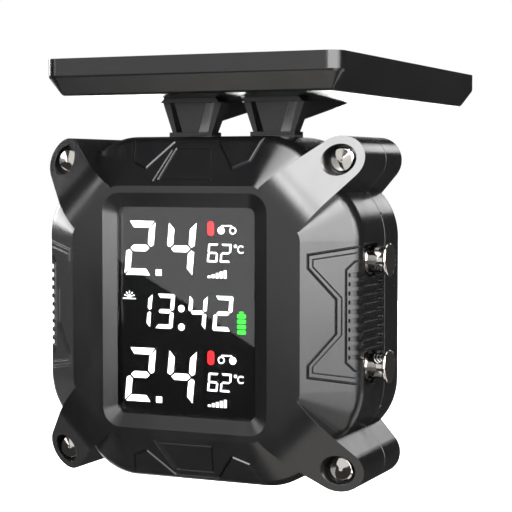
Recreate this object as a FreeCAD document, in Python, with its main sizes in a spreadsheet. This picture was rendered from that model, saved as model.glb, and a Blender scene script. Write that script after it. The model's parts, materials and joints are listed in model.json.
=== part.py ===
import FreeCAD, Part
import math
import os
import re
import Sketcher

# Tire pressure monitor: a square case on four lugs with an LCD window, two side buttons and a solar
# panel on two legs. Origin: mouth of the mount insert, in the middle of the flat rear face.
# +X is to the viewer's right, -Y points out of the display, +Z is up.
# "Depth" below is the distance in front of the rear face, so a depth d lies at Y = -d.

DIMENSIONS = [
    ("body_half", 27.2, "half width and half height of the case"),
    ("corner_cut", 15.45, "where the 45 degree corner line meets the sides"),
    ("corner_radius", 10.0, "rounding of the case's eight corners"),
    ("body_depth", 23.6, "rear face to flat front face"),
    ("shoulder_depth", 17.9, "rear face to the shoulder, where the front slopes begin"),
    ("parting_depth", 7.6, "rear face to the parting plane of the two shells"),
    ("slope_inset", 7.7, "how far the front slopes run inwards"),
    ("shoulder_round", 2.6, "rounding between the front slopes and the sides"),
    ("rear_round", 1.4, "rounding of the rear face's rim"),
    ("parting_bevel", 0.22, "bevel of the rear cover at the parting plane"),
    ("room_wide", 41.0, "room behind the front face, inside the shoulder"),
    ("room_corner", 5.0, "corner radius of that room"),
    ("room_depth", 19.5, "depth of that room's front end"),
    ("seal_inset", 0.7, "case seal, from the outside of the case"),
    ("seal_inner", 1.6, "inner side of the case seal"),
    ("seal_deep", 0.8, "height of the case seal"),
    ("wall", 2.2, "wall of the case"),
    ("floor", 2.0, "floor of the rear cover"),
    ("lug_x", 23.76, "lug axis from the middle, sideways"),
    ("lug_z", 23.5, "lug axis from the middle, upwards"),
    ("lug_radius", 3.6, "rounded end of a lug"),
    ("arm_root_near", 12.8, "near corner of an arm's root"),
    ("arm_root_far", 19.3, "far corner of an arm's root"),
    ("arm_hub", 8.5, "where an arm's outline closes inside the case"),
    ("arm_bend_start", 22.9, "distance from the middle where an arm's front starts to bend back"),
    ("arm_bend_radius", 10.5, "radius of that bend"),
    ("arm_tip", 40.0, "distance from the middle where the slanted front is given"),
    ("arm_tip_depth", 14.55, "depth of the slanted front there"),
    ("lug_bore", 2.4, "radius of the bore in front of the barrel nut"),
    ("nut_radius", 1.95, "barrel nut"),
    ("nut_front", 17.5, "depth of the rim of the barrel nut's polished face"),
    ("nut_crown", 0.26, "how far that face's middle stands out"),
    ("nut_bevel", 0.25, "bevel round that face"),
    ("head_rear", 0.2, "depth of the lug screw head's rear side"),
    ("head_bevel", 0.3, "bevel of that head"),
    ("recess_radius", 1.05, "driver recess of the lug screw"),
    ("recess_deep", 0.8, "driver recess of the lug screw"),
    ("nut_rear", 8.6, "depth of the barrel nut's rear end"),
    ("nut_seat", 16.2, "depth of the wide bore's bottom"),
    ("thread_radius", 1.1, "hole of the barrel nut"),
    ("screw_radius", 1.05, "shank of the lug screw"),
    ("screw_head", 2.1, "head of the lug screw"),
    ("screw_seat", 1.9, "depth of the lug screw head's seat"),
    ("screw_end", 13.5, "depth of the lug screw's tip"),
    ("screw_gap", 0.2, "radial clearance round a screw"),
    ("window_wide", 23.6, "visible window"),
    ("window_tall", 32.4, "visible window"),
    ("window_corner", 1.2, "corner radius of the window"),
    ("window_depth", 22.9, "depth of the window's front face"),
    ("frame_wide", 28.2, "outer edge of the bevel round the window"),
    ("frame_tall", 36.8, "outer edge of the bevel round the window"),
    ("frame_corner", 3.0, "outer corner radius of the bevel"),
    ("lip_depth", 22.3, "rear side of the lip round the window"),
    ("bay_wide", 28.8, "display bay in the front shell"),
    ("bay_tall", 36.4, "display bay in the front shell"),
    ("bay_corner", 0.3, "corner radius of the bay"),
    ("window_gap", 0.05, "gap round the window in its hole"),
    ("bevel_under", 0.07, "how far the window bevel starts below the window's face"),
    ("flange_thick", 0.6, "flange behind the window"),
    ("flange_corner", 1.5, "corner radius of that flange"),
    ("flange_gap_wide", 1.1, "gap beside the flange"),
    ("flange_gap_tall", 0.5, "gap above and below the flange"),
    ("window_seal", 0.15, "seal between the flange and the lip"),
    ("window_seal_lap", 0.3, "how far the seal stays away from the visible window"),
    ("lcd_gap", 0.1, "gap between the window and the LCD cell"),
    ("lcd_thick", 1.4, "LCD cell"),
    ("lcd_margin_wide", 1.9, "bay to LCD cell, each side"),
    ("lcd_margin_tall", 1.1, "bay to LCD cell, above and below"),
    ("light_wide", 24.4, "backlight"),
    ("light_tall", 29.6, "backlight"),
    ("light_thick", 3.0, "backlight"),
    ("light_depth", 17.0, "depth of the backlight's rear side"),
    ("holder_gap", 0.2, "gap between the LCD holder and the bay"),
    ("holder_long", 6.0, "LCD holder, front to rear"),
    ("holder_side", 1.5, "side walls of the LCD holder"),
    ("holder_end", 0.7, "upper and lower walls of the LCD holder"),
    ("zebra_z", 16.1, "contact strips' distance from the middle"),
    ("zebra_wide", 22.0, "contact strip"),
    ("zebra_tall", 1.5, "contact strip"),
    ("board_rear", 13.8, "depth of the main board's rear side"),
    ("board_thick", 1.6, "main board"),
    ("board_half", 22.5, "half size of the main board"),
    ("chip_x", -15.7, "parts on the left of the board, sideways"),
    ("chip_z", -8.0, "controller, upwards"),
    ("chip_side", 7.0, "controller"),
    ("chip_thick", 1.0, "controller"),
    ("radio_z", 5.0, "receiver module, upwards"),
    ("radio_wide", 9.0, "receiver module"),
    ("radio_tall", 14.0, "receiver module"),
    ("radio_thick", 0.8, "receiver module's own board"),
    ("can_wide", 7.6, "shield can of the receiver"),
    ("can_tall", 9.0, "shield can of the receiver"),
    ("can_thick", 1.8, "shield can of the receiver"),
    ("buzzer_x", -12.5, "buzzer, sideways"),
    ("buzzer_z", -17.4, "buzzer, upwards"),
    ("buzzer_radius", 3.8, "buzzer"),
    ("buzzer_thick", 3.0, "buzzer"),
    ("sound_radius", 0.7, "sound hole of the buzzer"),
    ("sound_deep", 1.2, "depth of that hole"),
    ("battery_x", 3.4, "battery, sideways"),
    ("battery_z", 2.2, "battery, upwards"),
    ("battery_depth", 7.8, "depth of the battery's rear side"),
    ("battery_wide", 24.0, "battery"),
    ("battery_tall", 30.0, "battery"),
    ("battery_thick", 4.8, "battery"),
    ("battery_pad_margin", 1.0, "battery to its foam pad, each side"),
    ("header_z", 20.6, "header and plug of the panel lead, upwards"),
    ("header_wide", 4.2, "header"),
    ("header_tall", 2.8, "header"),
    ("header_long", 3.0, "header"),
    ("plug_wide", 3.6, "plug"),
    ("plug_tall", 2.2, "plug"),
    ("plug_long", 2.5, "plug"),
    ("switch_x", 20.2, "middle of the side switches"),
    ("switch_rear", 10.1, "depth of the side switches' rear side"),
    ("switch_wide", 4.0, "side switch"),
    ("switch_tall", 6.4, "side switch"),
    ("plunger_radius", 1.0, "plunger of a side switch"),
    ("plunger_inner", 20.9, "X of the plunger's inner end"),
    ("plunger_long", 2.5, "plunger of a side switch"),
    ("button_depth", 12.0, "depth of the buttons' axes"),
    ("button_z", 8.2, "buttons' distance from the middle"),
    ("button_face", 29.75, "X of the buttons' outer faces"),
    ("button_cap", 2.6, "radius of a button's cap"),
    ("cap_thick", 0.6, "thickness of a button's cap"),
    ("cap_round", 0.28, "rounding of the cap's rim"),
    ("button_barrel", 2.12, "radius of a button under its cap"),
    ("barrel_end", 27.27, "X where a button steps down to its stem"),
    ("button_stem", 1.9, "radius of a button's stem in its collar"),
    ("stem_end", 26.12, "X where the stem steps down to the shaft"),
    ("button_shaft", 1.2, "radius of a button's inner shaft"),
    ("shaft_end", 23.4, "X of the shaft's inner end"),
    ("button_travel", 0.6, "travel of a button"),
    ("scoop_radius", 2.6, "recess in the case wall at each button"),
    ("scoop_floor", 26.2, "X of that recess's floor"),
    ("scoop_front", 14.2, "depth where that recess starts to run out forwards"),
    ("scoop_end", 17.8, "depth where it has run out"),
    ("collar_inner_end", 24.4, "X of the collar's inner end"),
    ("collar_sleeve", 2.3, "radius of the collar"),
    ("collar_face", 26.45, "X of the collar's outer face"),
    ("bore_floor", 25.5, "X of the floor of the stem's bore in the collar"),
    ("running_gap", 0.05, "radial clearance of a button in its collar"),
    ("o_ring_x", 24.99, "X of a button's O-ring"),
    ("o_ring_cord", 0.3, "radius of the O-ring's cord"),
    ("o_ring_room", 2.0, "radius of the O-ring's groove"),
    ("clip_x", 24.0, "X of the clip's groove in the shaft"),
    ("clip_groove", 0.35, "width of that groove"),
    ("clip_waist", 0.8, "radius of the shaft in that groove"),
    ("slot_deep", 0.4, "depth of the grip slots below the surface"),
    ("slot_over", 0.5, "how far the slot cutter stands above the surface"),
    ("slot_wide", 0.82, "width of a grip slot"),
    ("slot_pitch", 1.378, "distance between grip slots"),
    ("slot_front", 18.86, "depth where the grip slots begin on the slopes"),
    ("slot_rear", 8.8, "depth of the centre of a slot's rounded rear end"),
    ("slot_mark", 25.66, "distance from the middle to the mark in front of each slot"),
    ("slot_mark_half", 0.3, "half the length of that mark"),
    ("panel_wide", 50.8, "solar panel, side to side"),
    ("panel_long", 71.1, "solar panel, front to rear"),
    ("panel_front", 22.5, "depth of the panel's front edge"),
    ("panel_top", 39.65, "height of the panel's top"),
    ("panel_under", 33.8, "height of the panel's underside"),
    ("panel_corner", 2.4, "vertical corners of the panel"),
    ("panel_bevel_tall", 2.9, "height of the bevel round the panel's underside"),
    ("panel_bevel_wide", 2.2, "width of that bevel"),
    ("panel_bevel_round", 0.8, "rounding of that bevel's edges"),
    ("tray_wall", 1.8, "wall and floor of the panel tray"),
    ("tray_fit", 0.05, "gap between the tray and the sheets in it"),
    ("tray_corner", 0.6, "corner radius inside the tray"),
    ("core_thick", 2.05, "filling sheet under the cells' board"),
    ("cell_board_thick", 0.7, "board that carries the cells"),
    ("cell_thick", 0.2, "solar cell"),
    ("cell_gap", 0.5, "gap between two solar cells"),
    ("cover_gap", 0.05, "gap between the cells and the cover"),
    ("cover_sunk", 0.1, "how far the cover lies below the tray's rim"),
    ("leg_x", 7.35, "leg from the middle"),
    ("leg_front", 5.9, "depth of the legs' front face"),
    ("leg_foot_top", 28.15, "height where the legs' column begins"),
    ("leg_head", 33.0, "height where the legs' head begins"),
    ("foot_wide", 7.7, "foot of a leg and its gasket"),
    ("foot_thick", 3.8, "foot of a leg, front to rear"),
    ("foot_depth", 2.2, "depth of the foot's rear side"),
    ("gasket", 0.4, "gasket under each leg"),
    ("leg_screw_pitch", 4.2, "distance between a leg's two screws"),
    ("leg_screw_radius", 0.75, "shank of a leg screw"),
    ("leg_screw_head", 1.0, "head of a leg screw"),
    ("leg_screw_reach", 4.1, "how far a leg screw stands out of the case"),
    ("leg_raised", 0.6, "how far the middle of a leg's front stands out"),
    ("leg_low_half", 3.65, "leg column at its foot: half width"),
    ("leg_low_flat", 1.5, "half width of its raised front"),
    ("leg_low_bevel", 2.9, "half width with the bevels"),
    ("leg_low_rear", -2.9, "Y of its rear side"),
    ("leg_high_half", 5.35, "leg column at its head: half width"),
    ("leg_high_flat", 2.95, "half width of its raised front"),
    ("leg_high_bevel", 4.1, "half width with the bevels"),
    ("leg_high_rear", -2.3, "Y of its rear side"),
    ("head_depth", 1.8, "depth of the legs' head, rear side"),
    ("head_thick", 4.5, "head, front to rear"),
    ("head_low_half", 5.4, "half width of the head's lower edge"),
    ("head_high_half", 4.7, "half width of the head under the panel"),
    ("gusset_thick", 4.8, "web that runs back under the panel"),
    ("gusset_front", 3.4, "depth of the web's front end, inside the column"),
    ("gusset_low", 29.6, "height of the web's lower corner"),
    ("gusset_reach", 22.0, "Y of the web's rear end"),
    ("gusset_tip", 0.15, "height of the web's rear end"),
    ("lead_radius", 0.75, "panel lead"),
    ("lead_bore", 0.9, "bore for the panel lead in the left leg"),
    ("lead_depth", 4.1, "depth of the panel lead in the leg"),
    ("insert_hole", 2.1, "thread of the mount insert"),
    ("insert_radius", 3.5, "outside of the mount insert"),
    ("insert_long", 6.0, "length of the mount insert"),
    ("insert_wall", 1.2, "wall of the boss round the mount insert"),
]

SIDES = (("left", -1), ("right", 1))
LEVELS = (("upper", 1), ("lower", -1))
CORNERS = [(level + "_" + side, sx, sz) for level, sz in LEVELS for side, sx in SIDES]
SLOT_COUNT = 10
CELL_COUNT = 6
SMALL = 0.01
ANTENNA_ROUTE = [(-15.7, -13.0, 11.0), (-15.7, -11.0, 11.0), (-15.7, -11.0, 23.6), (14.0, -11.0, 23.6)]
ANTENNA_BEND = 1.1
ANTENNA_RADIUS = 0.45
LEAD_BEND = 3.0

doc = FreeCAD.newDocument("TirePressureMonitor")
sheet = doc.addObject("Spreadsheet::Sheet", "Dims")
for row, (alias, value, note) in enumerate(DIMENSIONS, start=1):
    sheet.set("A%d" % row, alias)
    sheet.set("B%d" % row, str(value))
    sheet.setAlias("B%d" % row, alias)
    sheet.set("C%d" % row, note)
scratch = doc.addObject("Spreadsheet::Sheet", "Scratch")
doc.recompute()

nodes = []


# ---------------------------------------------------------------- helpers
def bound(text):
    """The same formula, with each word named as a cell of the sheet."""
    return re.sub(r"[a-z_]+", r"Dims.\g<0>", str(text))


def size(text):
    """The number that a formula of cell names gives, worked out in a spare cell."""
    scratch.set("A1", "=" + bound(text))
    scratch.recompute()
    return float(scratch.get("A1"))


def bind(obj, path, text):
    obj.setExpression(path, bound(text))


def keep(obj, label):
    """Name a finished sub-part and list it for export."""
    obj.Label = label
    nodes.append(obj)
    return obj


def new_body(name):
    return doc.addObject("PartDesign::Body", name)


def new_sketch(body, role, offset="0", turn=None):
    """A sketch on one of the body's own origin planes, offset along the plane's normal."""
    sketch = body.newObject("Sketcher::SketchObject", body.Name + "_sketch")
    plane = [item for item in body.Origin.OriginFeatures if item.Role == role][0]
    sketch.AttachmentSupport = [(plane, "")]
    sketch.MapMode = "FlatFace"
    if turn:
        sketch.AttachmentOffset = FreeCAD.Placement(FreeCAD.Vector(), turn)
    bind(sketch, "AttachmentOffset.Base.z", offset)
    return sketch


def pin(sketch, edge, end, x, y):
    """Fix one point of the sketch at bound distances from its origin."""
    for kind, text in (("DistanceX", x), ("DistanceY", y)):
        index = sketch.addConstraint(Sketcher.Constraint(kind, -1, 1, edge, end, size(text)))
        bind(sketch, "Constraints[%d]" % index, text)


def set_radius(sketch, edge, text):
    index = sketch.addConstraint(Sketcher.Constraint("Radius", edge, size(text)))
    bind(sketch, "Constraints[%d]" % index, text)


def polygon(sketch, points):
    """A closed outline of straight edges; each point is a pair of formulas."""
    first = sketch.GeometryCount
    spots = [FreeCAD.Vector(size(x), size(y), 0) for x, y in points]
    count = len(spots)
    for index in range(count):
        sketch.addGeometry(Part.LineSegment(spots[index], spots[(index + 1) % count]))
    for index, (x, y) in enumerate(points):
        follower = first + (index + 1) % count
        sketch.addConstraint(Sketcher.Constraint("Coincident", first + index, 2, follower, 1))
        pin(sketch, first + index, 1, x, y)


def circle(sketch, x, y, radius):
    centre = FreeCAD.Vector(size(x), size(y), 0)
    edge = sketch.addGeometry(Part.Circle(centre, FreeCAD.Vector(0, 0, 1), size(radius)))
    pin(sketch, edge, 3, x, y)
    set_radius(sketch, edge, radius)


def rounded_rectangle(sketch, wide, tall, radius):
    """A rectangle about the sketch's origin with four rounded corners."""
    half_x, half_y, corner = size(wide) / 2, size(tall) / 2, size(radius)
    quarters = ((1, 1, 0), (-1, 1, 90), (-1, -1, 180), (1, -1, 270))
    first = sketch.GeometryCount
    for sign_x, sign_y, start in quarters:
        centre = FreeCAD.Vector(sign_x * (half_x - corner), sign_y * (half_y - corner), 0)
        full = Part.Circle(centre, FreeCAD.Vector(0, 0, 1), corner)
        sketch.addGeometry(Part.ArcOfCircle(full, math.radians(start), math.radians(start + 90)))
    for index in range(4):
        begin = sketch.Geometry[first + index].EndPoint
        end = sketch.Geometry[first + (index + 1) % 4].StartPoint
        side = sketch.addGeometry(Part.LineSegment(begin, end))
        sketch.addConstraint(Sketcher.Constraint("Tangent", first + index, 2, side, 1))
        sketch.addConstraint(Sketcher.Constraint("Tangent", side, 2, first + (index + 1) % 4, 1))
    for index, (sign_x, sign_y, _) in enumerate(quarters):
        x = "%d * (%s) / 2 - %d * (%s)" % (sign_x, wide, sign_x, radius)
        y = "%d * (%s) / 2 - %d * (%s)" % (sign_y, tall, sign_y, radius)
        pin(sketch, first + index, 3, x, y)
    set_radius(sketch, first, radius)
    for index in range(1, 4):
        sketch.addConstraint(Sketcher.Constraint("Equal", first, first + index))


def case_outline(sketch, inset="0"):
    """The case's outline, eight straight edges, drawn smaller by an inset."""
    half = "body_half - (%s)" % inset
    cut = "corner_cut - (%s) * %.5f" % (inset, math.sqrt(2) - 1)
    corners = ((half, cut), (cut, half))
    points = []
    for sign_x, sign_z, order in ((1, 1, 1), (-1, 1, -1), (-1, -1, 1), (1, -1, -1)):
        for x, z in corners[::order]:
            points.append(("%d * (%s)" % (sign_x, x), "%d * (%s)" % (sign_z, z)))
    polygon(sketch, points)


def pad(body, sketch, length):
    feature = body.newObject("PartDesign::Pad", body.Name + "_pad")
    feature.Profile = sketch
    bind(feature, "Length", length)
    sketch.Visibility = False
    doc.recompute()
    return feature


def pocket(body, sketch, length, reverse=True, middle=False):
    """Cut from the sketch's plane, along its normal when reverse is set."""
    before = body.Shape.Volume
    feature = body.newObject("PartDesign::Pocket", body.Name + "_pocket")
    feature.Profile = sketch
    feature.Reversed = reverse
    feature.Midplane = middle
    bind(feature, "Length", length)
    doc.recompute()
    if body.Shape.Volume >= before - SMALL:
        raise RuntimeError("a pocket of %s cut nothing" % body.Name)
    return feature


def edge_names(shape, test):
    return ["Edge%d" % (index + 1) for index, edge in enumerate(shape.Edges) if test(edge)]


def along_depth(edge):
    box = edge.BoundBox
    return box.XLength < SMALL and box.ZLength < SMALL and box.YLength > SMALL


def at_depth(depth):
    def test(edge):
        box = edge.BoundBox
        return abs(box.YMin + depth) < SMALL and abs(box.YMax + depth) < SMALL
    return test


def dress(body, kind, names, **sizes):
    """A fillet or chamfer on named edges of the body's last feature."""
    base = body.Tip
    feature = body.newObject("PartDesign::" + kind, body.Name + "_" + kind.lower())
    feature.Base = (base, names)
    for path, text in sizes.items():
        bind(feature, path, text)
    doc.recompute()
    return feature


def box(name, x, depth, z, wide, thick, tall):
    """A box centred on x and z that reaches from a depth forwards by its thickness."""
    solid = doc.addObject("Part::Box", name)
    bind(solid, "Length", wide)
    bind(solid, "Width", thick)
    bind(solid, "Height", tall)
    bind(solid, "Placement.Base.x", "(%s) - (%s) / 2" % (x, wide))
    bind(solid, "Placement.Base.y", "-(%s) - (%s)" % (depth, thick))
    bind(solid, "Placement.Base.z", "(%s) - (%s) / 2" % (z, tall))
    return solid


def cylinder(name, axis, x, depth, z, radius, length):
    """A cylinder from (x, depth, z) along the named axis; "front" is towards the display."""
    turns = {"front": (1, 0, 0, 90), "right": (0, 1, 0, 90), "up": (0, 0, 1, 0)}
    turn = turns[axis]
    solid = doc.addObject("Part::Cylinder", name)
    solid.Placement = FreeCAD.Placement(
        FreeCAD.Vector(), FreeCAD.Rotation(FreeCAD.Vector(*turn[:3]), turn[3]))
    bind(solid, "Radius", radius)
    bind(solid, "Height", length)
    bind(solid, "Placement.Base.x", x)
    bind(solid, "Placement.Base.y", "-(%s)" % depth)
    bind(solid, "Placement.Base.z", z)
    return solid


def cut(name, base, *tools):
    for index, tool in enumerate(tools):
        result = doc.addObject("Part::Cut", "%s_cut%d" % (name, index))
        result.Base = base
        result.Tool = tool
        result.Refine = False
        base = result
    doc.recompute()
    return base


def fuse(name, *shapes):
    result = doc.addObject("Part::MultiFuse", name + "_fuse")
    result.Shapes = list(shapes)
    doc.recompute()
    return result


def common(name, base, tool):
    result = doc.addObject("Part::Common", name)
    result.Base = base
    result.Tool = tool
    doc.recompute()
    return result


def compound(name, shapes):
    result = doc.addObject("Part::Compound", name)
    result.Links = shapes
    doc.recompute()
    return result


def turned(name, axis, x, depth, z, profile):
    """A turned part: profile points are (radius, distance along the axis)."""
    body = new_body(name)
    sketch = new_sketch(body, "XZ_Plane")
    polygon(sketch, profile)
    feature = body.newObject("PartDesign::Revolution", name + "_turn")
    feature.Profile = sketch
    feature.ReferenceAxis = (sketch, ["V_Axis"])
    feature.Angle = 360
    turns = {"front": (1, 0, 0, 90), "right": (0, 1, 0, 90)}
    turn = turns[axis]
    body.Placement = FreeCAD.Placement(
        FreeCAD.Vector(), FreeCAD.Rotation(FreeCAD.Vector(*turn[:3]), turn[3]))
    bind(body, "Placement.Base.x", x)
    bind(body, "Placement.Base.y", "-(%s)" % depth)
    bind(body, "Placement.Base.z", z)
    doc.recompute()
    return body


def bent_wire(name, points, bend, radius):
    """A round wire along straight runs joined by tangent arcs of one radius."""
    spots = [FreeCAD.Vector(*point) for point in points]
    edges = []
    start = spots[0]
    for before, corner, after in zip(spots, spots[1:], spots[2:]):
        back = (before - corner).normalize()
        ahead = (after - corner).normalize()
        half_turn = (math.pi - back.getAngle(ahead)) / 2
        reach = bend * math.tan(half_turn)
        begin = corner + back * reach
        end = corner + ahead * reach
        centre = corner + (back + ahead).normalize() * (bend / math.cos(half_turn))
        middle = centre + (corner - centre).normalize() * bend
        edges.append(Part.LineSegment(start, begin).toShape())
        edges.append(Part.Arc(begin, middle, end).toShape())
        start = end
    edges.append(Part.LineSegment(start, spots[-1]).toShape())
    path = Part.Wire(edges)
    ring = Part.Wire(Part.makeCircle(radius, spots[0], spots[1] - spots[0]))
    feature = doc.addObject("Part::Feature", name)
    feature.Shape = path.makePipeShell([ring], True, False)
    return feature


# ---------------------------------------------------------------- case
def case_form(name, grow="0"):
    """The front half's outer form: straight sides, rounded corners and front slopes."""
    body = new_body(name)
    outline = new_sketch(body, "XZ_Plane", "parting_depth")
    case_outline(outline, "0 - (%s)" % grow)
    pad(body, outline, "body_depth - parting_depth + (%s)" % grow)
    dress(body, "Fillet", edge_names(body.Shape, along_depth), Radius="corner_radius + (%s)" % grow)
    front = edge_names(body.Shape, at_depth(size("body_depth + (%s)" % grow)))
    slope = dress(body, "Chamfer", front)
    slope.ChamferType = "Two distances"
    bind(slope, "Size", "body_depth - shoulder_depth")
    bind(slope, "Size2", "slope_inset")
    doc.recompute()
    face = size("body_half - slope_inset + (%s)" % grow)
    if abs(flat_front_half(body.Shape, size("body_depth + (%s)" % grow)) - face) > 0.1:
        slope.FlipDirection = True
        doc.recompute()
    shoulder = edge_names(body.Shape, at_depth(size("shoulder_depth + (%s)" % grow)))
    dress(body, "Fillet", shoulder, Radius="shoulder_round")
    return body


def flat_front_half(shape, depth):
    """Half width of the flat front face."""
    flats = [face for face in shape.Faces
             if abs(face.BoundBox.YMin + depth) < SMALL and face.BoundBox.YLength < SMALL]
    return flats[0].BoundBox.XLength / 2


def arm_outlines(sketch):
    """Four tapered arms that run out to the round lugs."""
    near, far, hub = "arm_root_near", "arm_root_far", "arm_hub"
    for _, sx, sz in CORNERS:
        centre = FreeCAD.Vector(sx * size("lug_x"), sz * size("lug_z"), 0)
        root_a = FreeCAD.Vector(sx * size(near), sz * size(far), 0)
        root_b = FreeCAD.Vector(sx * size(far), sz * size(near), 0)
        inner = FreeCAD.Vector(sx * size(hub), sz * size(hub), 0)
        turn = sx * sz
        touch_a = tangent_point(root_a, centre, size("lug_radius"), turn)
        touch_b = tangent_point(root_b, centre, size("lug_radius"), -turn)
        begin, end = (touch_b, touch_a) if turn > 0 else (touch_a, touch_b)
        start_angle, end_angle = heading(centre, begin), heading(centre, end)
        if end_angle < start_angle:
            end_angle += 2 * math.pi
        full = Part.Circle(centre, FreeCAD.Vector(0, 0, 1), size("lug_radius"))
        first = sketch.GeometryCount
        sketch.addGeometry(Part.LineSegment(root_a, touch_a))
        sketch.addGeometry(Part.ArcOfCircle(full, start_angle, end_angle))
        sketch.addGeometry(Part.LineSegment(touch_b, root_b))
        sketch.addGeometry(Part.LineSegment(root_b, inner))
        sketch.addGeometry(Part.LineSegment(inner, root_a))
        arc = first + 1
        arc_start = 2 if turn > 0 else 1
        sketch.addConstraint(Sketcher.Constraint("Tangent", first, 2, arc, arc_start))
        sketch.addConstraint(Sketcher.Constraint("Tangent", arc, 3 - arc_start, first + 2, 1))
        for edge, follower in ((2, 3), (3, 4), (4, 0)):
            sketch.addConstraint(
                Sketcher.Constraint("Coincident", first + edge, 2, first + follower, 1))
        pin(sketch, first, 1, "%d * %s" % (sx, near), "%d * %s" % (sz, far))
        pin(sketch, first + 3, 1, "%d * %s" % (sx, far), "%d * %s" % (sz, near))
        pin(sketch, first + 4, 1, "%d * %s" % (sx, hub), "%d * %s" % (sz, hub))
        pin(sketch, arc, 3, "%d * lug_x" % sx, "%d * lug_z" % sz)
        set_radius(sketch, arc, "lug_radius")


def heading(centre, point):
    return math.atan2(point.y - centre.y, point.x - centre.x)


def tangent_point(start, centre, radius, turn):
    """Where a line from start touches the circle, on the side that turn chooses."""
    spread = math.acos(radius / start.distanceToPoint(centre)) * turn
    angle = heading(centre, start) - spread
    return centre + FreeCAD.Vector(math.cos(angle), math.sin(angle), 0) * radius


def slant_outline(sketch, sign):
    """What the slant takes off one arm: a bend from the flat front, then a straight run back."""
    ahead = "-body_depth - 2"
    centre = FreeCAD.Vector(size("arm_bend_radius - body_depth"), sign * size("arm_bend_start"), 0)
    tip = FreeCAD.Vector(-size("arm_tip_depth"), sign * size("arm_tip"), 0)
    touch = tangent_point(tip, centre, size("arm_bend_radius"), -sign)
    flat = centre - FreeCAD.Vector(size("arm_bend_radius"), 0, 0)
    outside = FreeCAD.Vector(size(ahead), tip.y, 0)
    inside = FreeCAD.Vector(size(ahead), flat.y, 0)
    full = Part.Circle(centre, FreeCAD.Vector(0, 0, 1), size("arm_bend_radius"))
    turn = heading(centre, touch) % (2 * math.pi)
    angles = sorted((math.pi, turn))
    at_flat = 2 if sign > 0 else 1
    arc = sketch.addGeometry(Part.ArcOfCircle(full, *angles))
    slant = sketch.addGeometry(Part.LineSegment(touch, tip))
    end = sketch.addGeometry(Part.LineSegment(tip, outside))
    front = sketch.addGeometry(Part.LineSegment(outside, inside))
    start = sketch.addGeometry(Part.LineSegment(inside, flat))
    sketch.addConstraint(Sketcher.Constraint("Tangent", arc, 3 - at_flat, slant, 1))
    for edge, follower in ((slant, end), (end, front), (front, start)):
        sketch.addConstraint(Sketcher.Constraint("Coincident", edge, 2, follower, 1))
    sketch.addConstraint(Sketcher.Constraint("Coincident", start, 2, arc, at_flat))
    sketch.addConstraint(Sketcher.Constraint("Horizontal", start))
    pin(sketch, arc, 3, "arm_bend_radius - body_depth", "%d * arm_bend_start" % sign)
    set_radius(sketch, arc, "arm_bend_radius")
    pin(sketch, slant, 2, "-arm_tip_depth", "%d * arm_tip" % sign)
    pin(sketch, end, 2, ahead, "%d * arm_tip" % sign)
    pin(sketch, front, 2, ahead, "%d * arm_bend_start" % sign)


def slant_arms(body):
    """Slant the arms' front from the flat face back to the lug tips."""
    for angle in (45, -45):
        turn = FreeCAD.Rotation(FreeCAD.Vector(1, 0, 0), angle)
        sketch = new_sketch(body, "YZ_Plane", turn=turn)
        for sign in (1, -1):
            slant_outline(sketch, sign)
        pocket(body, sketch, "4 * lug_radius + 2", middle=True)


def groove(name, sign_x, sign_z, side, points, half_wide, deep):
    """A V-shaped groove along straight runs on one of the front slopes.
    Points are (distance across the slope's edge, distance out from the middle)."""
    edge = size("body_half - slope_inset")
    fall = size("body_depth - shoulder_depth") / size("slope_inset")

    def on_slope(across, out):
        y = -size("body_depth") + (out - edge) * fall
        if side == "x":
            return FreeCAD.Vector(sign_x * out, y, sign_z * across)
        return FreeCAD.Vector(sign_x * across, y, sign_z * out)

    ring = points[0] == points[-1]
    spots = [on_slope(*point) for point in (points[:-1] if ring else points)]
    origin = on_slope(0, edge)
    normal = (on_slope(1, edge) - origin).cross(on_slope(0, edge + 1) - origin).normalize()
    if normal.y > 0:
        normal = normal * -1
    sections = []
    last = len(spots) - 1
    for index, spot in enumerate(spots):
        before = spot - spots[index - 1] if ring or index > 0 else spots[1] - spot
        after = spots[(index + 1) % len(spots)] - spot if ring or index < last else before
        before = before.normalize()
        across = (normal.cross(before) + normal.cross(after.normalize())).normalize()
        stretch = half_wide / across.dot(normal.cross(before))
        top = normal * deep
        sections.append([spot + across * (2 * stretch) + top, spot - across * (2 * stretch) + top,
                         spot - normal * deep])
    tool = doc.addObject("Part::Feature", name)
    tool.Shape = faceted_solid(sections, ring)
    return tool


def faceted_solid(sections, ring):
    """A solid through matching three-cornered sections, with flat faces between them."""
    loops = [] if ring else [sections[0], sections[-1]]
    followers = sections[1:] + sections[:1] if ring else sections[1:]
    for near, far in zip(sections, followers):
        for one, two in ((0, 1), (1, 2), (2, 0)):
            loops.append([near[one], near[two], far[two], far[one]])
    faces = [Part.Face(Part.makePolygon(loop + loop[:1])) for loop in loops]
    solid = Part.makeSolid(Part.makeShell(faces))
    if solid.Volume < 0:
        solid.reverse()
    return solid


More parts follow.
